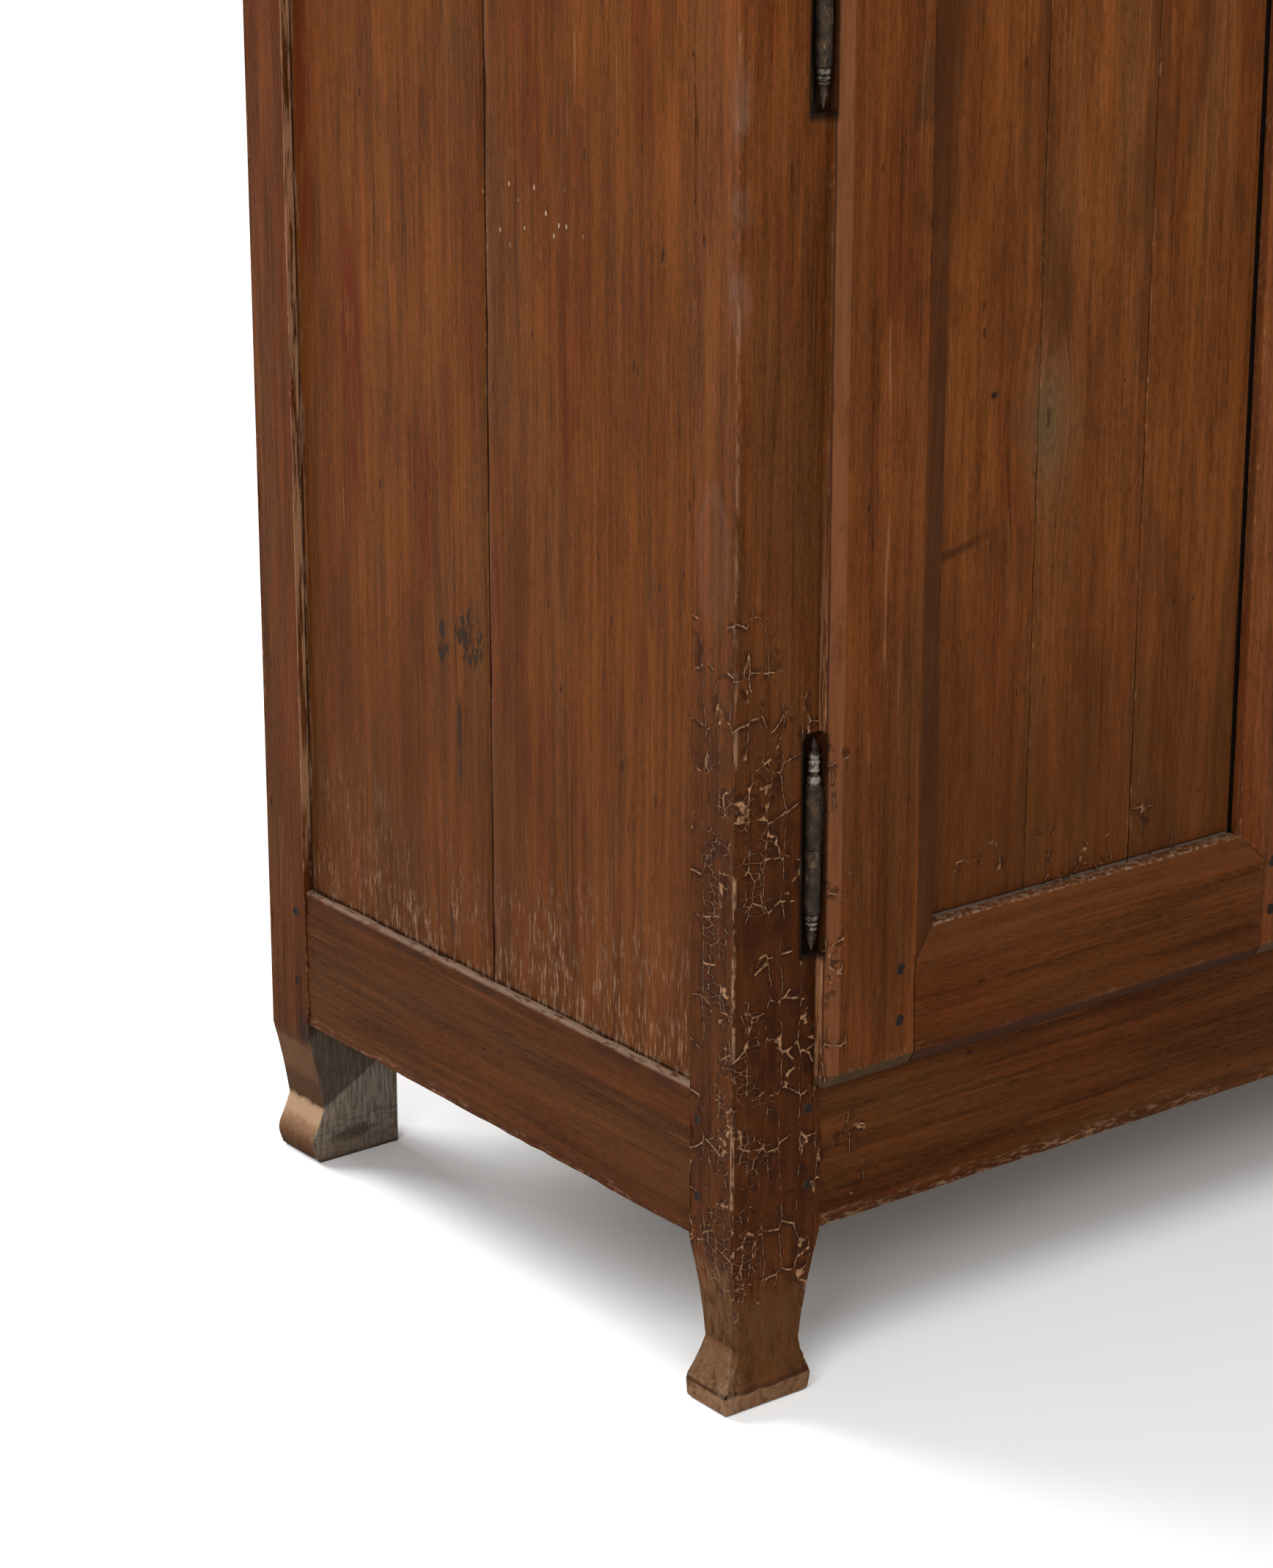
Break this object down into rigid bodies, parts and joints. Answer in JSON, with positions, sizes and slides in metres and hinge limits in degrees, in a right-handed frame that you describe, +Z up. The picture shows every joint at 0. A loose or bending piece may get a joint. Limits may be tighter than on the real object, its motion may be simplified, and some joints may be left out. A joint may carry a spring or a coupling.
{
  "type": "armoire",
  "caption": "Tall two-door country armoire in framed and panelled fruitwood, pegged joints, bevelled door frames, iron finial hinges, moulded cornice and shaped console feet.",
  "frame": {"origin": "on the floor, under the middle of the whole, cornice included", "axes": "+Z up, the doors face -Y, +X to the right of someone who faces the doors"},
  "size_m": [1.362, 0.662, 2.02],
  "materials": {
    "waxed_wood": "old shellac and wax, red-brown, crazed and worn pale on the edges",
    "panel_wood": "old shellac and wax on quarter-sawn boards, streaky red-brown",
    "raw_wood": "bare, dry, greyed by age",
    "aged_iron": "dark, pitted, rubbed bright on the turned finials",
    "key_iron": "handled, dull bright iron"
  },
  "bodies": {
    "carcass": {"centre_post": "waxed_wood", "cornice_front": "waxed_wood", "cornice_left": "waxed_wood", "cornice_right": "waxed_wood", "front_bottom_rail": "waxed_wood", "front_top_rail": "waxed_wood", "left_front_post": "waxed_wood", "left_rear_post": "waxed_wood", "left_bottom_side_rail": "waxed_wood", "left_top_side_rail": "waxed_wood", "right_front_post": "waxed_wood", "right_rear_post": "waxed_wood", "right_bottom_side_rail": "waxed_wood", "right_top_side_rail": "waxed_wood", "left_side_board_front": "panel_wood", "left_side_board_rear": "panel_wood", "right_side_board_front": "panel_wood", "right_side_board_rear": "panel_wood", "floor_board": "raw_wood", "roof_board": "raw_wood", "lower_shelf": "raw_wood", "upper_shelf": "raw_wood", "rear_bottom_rail": "raw_wood", "rear_top_rail": "raw_wood", "left_back_board": "raw_wood", "right_back_board": "raw_wood", "left_lower_shelf_batten": "raw_wood", "left_upper_shelf_batten": "raw_wood", "right_lower_shelf_batten": "raw_wood", "right_upper_shelf_batten": "raw_wood", "left_lower_hinge_lower_knuckle": "aged_iron", "left_middle_hinge_lower_knuckle": "aged_iron", "left_upper_hinge_lower_knuckle": "aged_iron", "right_lower_hinge_lower_knuckle": "aged_iron", "right_middle_hinge_lower_knuckle": "aged_iron", "right_upper_hinge_lower_knuckle": "aged_iron"},
    "left_door": {"left_door_hinge_stile": "waxed_wood", "left_door_closing_stile": "waxed_wood", "left_door_bottom_rail": "waxed_wood", "left_door_top_rail": "waxed_wood", "left_door_board_1": "panel_wood", "left_door_board_2": "panel_wood", "left_door_board_3": "panel_wood", "left_lower_hinge_upper_knuckle": "aged_iron", "left_middle_hinge_upper_knuckle": "aged_iron", "left_upper_hinge_upper_knuckle": "aged_iron"},
    "right_door": {"right_door_hinge_stile": "waxed_wood", "right_door_closing_stile": "waxed_wood", "right_door_bottom_rail": "waxed_wood", "right_door_top_rail": "waxed_wood", "right_door_board_1": "panel_wood", "right_door_board_2": "panel_wood", "right_lower_hinge_upper_knuckle": "aged_iron", "right_middle_hinge_upper_knuckle": "aged_iron", "right_upper_hinge_upper_knuckle": "aged_iron", "lock_case": "aged_iron", "escutcheon": "aged_iron"},
    "key": {"key": "key_iron"},
    "lock_bolt": {"lock_bolt": "key_iron"},
    "turn_button": {"turn_button": "raw_wood"}
  },
  "joints": [
    {"name": "left_door_swing", "type": "hinge", "parent": "carcass", "child": "left_door", "pos_m": [-0.562, -0.2835, 1.0285], "axis": [0, 0, -1], "range_deg": [0, 150]},
    {"name": "right_door_swing", "type": "hinge", "parent": "carcass", "child": "right_door", "pos_m": [0.562, -0.2835, 1.0285], "axis": [0, 0, 1], "range_deg": [0, 150]},
    {"name": "key_turn", "type": "hinge", "parent": "right_door", "child": "key", "pos_m": [0.0735, -0.281, 1.018], "axis": [0, 1, 0], "range_deg": [0, 360]},
    {"name": "bolt_throw", "type": "slide", "parent": "right_door", "child": "lock_bolt", "axis": [-1, 0, 0], "range_m": [0, 0.012]},
    {"name": "button_turn", "type": "hinge", "parent": "carcass", "child": "turn_button", "pos_m": [-0.02, -0.263, 1.18], "axis": [0, 1, 0], "range_deg": [0, 90]}
  ],
  "couplings": [
    {"joint": "bolt_throw", "follows": "key_turn", "m_per_rad": 0.0019}
  ]
}
